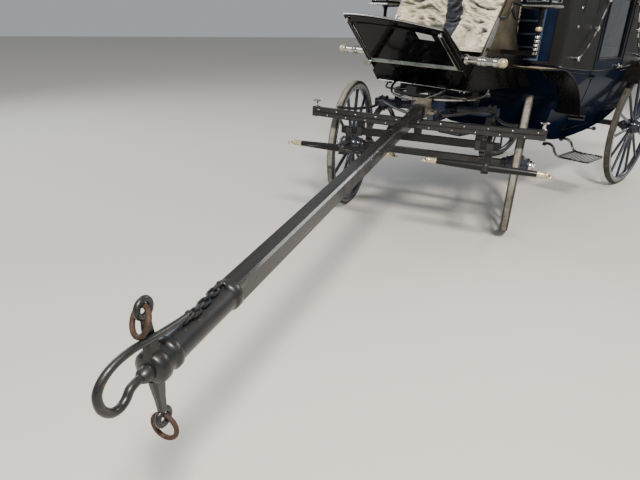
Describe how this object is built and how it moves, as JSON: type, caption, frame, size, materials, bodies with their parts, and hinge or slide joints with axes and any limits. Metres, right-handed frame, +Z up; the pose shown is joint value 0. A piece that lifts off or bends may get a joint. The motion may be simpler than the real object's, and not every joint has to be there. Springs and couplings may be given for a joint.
{
  "type": "horse drawn carriage",
  "caption": "Closed landau with a leather head and doors on a canoe-shaped body, driver's box, lamps, turning fore-carriage, pole and swingletrees.",
  "frame": {"origin": "middle of the object's outline on the ground", "axes": "+Z up, -Y to the front of the carriage, +X to its near side (its left)"},
  "size_m": [2.38, 6.3771, 2.125],
  "materials": {
    "black_iron": "worn black iron",
    "bright_metal": "polished nickel",
    "cabin_cloth": "woven cloth",
    "canvas": "creased canvas",
    "floor_timber": "oiled boards",
    "glass": "clear glass",
    "head_leather": "dull greased leather",
    "painted_black": "high gloss coach paint",
    "painted_navy": "high gloss coach paint",
    "patent_leather": "glossy patent leather",
    "tyre": "dusty rubber",
    "wheel_paint": "gloss paint on timber",
    "worn_timber": "weathered ash, worn dark paint"
  },
  "bodies": {
    "carriage": {"boot": "painted_black", "box_seat": "floor_timber", "box_side_panels": "painted_black", "cabin_backrests": "cabin_cloth", "cabin_benches": "floor_timber", "cabin_cushions": "cabin_cloth", "cabin_floor": "floor_timber", "cross_tube": "bright_metal", "dash": "patent_leather", "door_hinges": "painted_navy", "front_body": "painted_navy", "front_window_glass": "glass", "front_wings": "painted_black", "head_front": "head_leather", "head_rear": "head_leather", "lamp_glass": "glass", "lamps": "painted_black", "landau_irons": "bright_metal", "rear_axle": "black_iron", "rear_body": "painted_navy", "rear_frame": "black_iron", "rear_spring": "black_iron", "rear_wings": "painted_black", "seat_cover": "canvas", "sill": "painted_navy", "steps": "painted_black", "toe_board": "floor_timber", "turntable_upper_ring": "black_iron"},
    "fore_carriage": {"front_axle": "black_iron", "front_springs": "black_iron", "fore_frame": "black_iron", "turntable_lower_ring": "black_iron", "splinter_bar": "worn_timber", "roller_bolts": "black_iron", "evener_bar": "worn_timber", "swingletree_hangers": "black_iron", "pole": "worn_timber", "pole_sleeve": "black_iron", "pole_socket": "black_iron", "crab": "black_iron", "crab_rings": "black_iron", "pole_hook": "black_iron"},
    "wheel_front_near": {"wheel_front_near": "wheel_paint", "tyre_front_near": "tyre"},
    "wheel_front_off": {"wheel_front_off": "wheel_paint", "tyre_front_off": "tyre"},
    "wheel_rear_near": {"wheel_rear_near": "wheel_paint", "tyre_rear_near": "tyre"},
    "wheel_rear_off": {"wheel_rear_off": "wheel_paint", "tyre_rear_off": "tyre"},
    "door_near": {"door_near": "painted_navy", "door_glass_near": "glass"},
    "swingletree_near": {"swingletree_near": "worn_timber"},
    "door_off": {"door_off": "painted_navy", "door_glass_off": "glass"},
    "swingletree_off": {"swingletree_off": "worn_timber"}
  },
  "joints": [
    {"name": "steering", "type": "hinge", "parent": "carriage", "child": "fore_carriage", "pos_m": [-0.33015, 0.07855, 1], "axis": [0, 0, 1], "range_deg": [-54.7, 5.3]},
    {"name": "front_near_wheel_spin", "type": "hinge", "parent": "fore_carriage", "child": "wheel_front_near", "pos_m": [0.28764, 0.3627, 0.525], "axis": [0.9085, 0.4179, 0], "continuous": true},
    {"name": "front_off_wheel_spin", "type": "hinge", "parent": "fore_carriage", "child": "wheel_front_off", "pos_m": [-0.94794, -0.2056, 0.525], "axis": [0.9085, 0.4179, 0], "continuous": true},
    {"name": "rear_near_wheel_spin", "type": "hinge", "parent": "carriage", "child": "wheel_rear_near", "pos_m": [0.38485, 2.58355, 0.605], "axis": [1, 0, 0], "continuous": true},
    {"name": "rear_off_wheel_spin", "type": "hinge", "parent": "carriage", "child": "wheel_rear_off", "pos_m": [-1.04515, 2.58355, 0.605], "axis": [1, 0, 0], "continuous": true},
    {"name": "near_door_hinge", "type": "hinge", "parent": "carriage", "child": "door_near", "pos_m": [0.34485, 1.3313, 1.19], "axis": [0, 0, -1], "range_deg": [0, 85]},
    {"name": "near_swingletree_pivot", "type": "hinge", "parent": "fore_carriage", "child": "swingletree_near", "pos_m": [0.4375, -0.3939, 0.66], "axis": [0, 0, 1], "range_deg": [-15, 15]},
    {"name": "off_door_hinge", "type": "hinge", "parent": "carriage", "child": "door_off", "pos_m": [-1.00515, 1.3313, 1.19], "axis": [0, 0, 1], "range_deg": [0, 85]},
    {"name": "off_swingletree_pivot", "type": "hinge", "parent": "fore_carriage", "child": "swingletree_off", "pos_m": [-0.471, -0.81176, 0.66], "axis": [0, 0, 1], "range_deg": [-15, 15]}
  ]
}
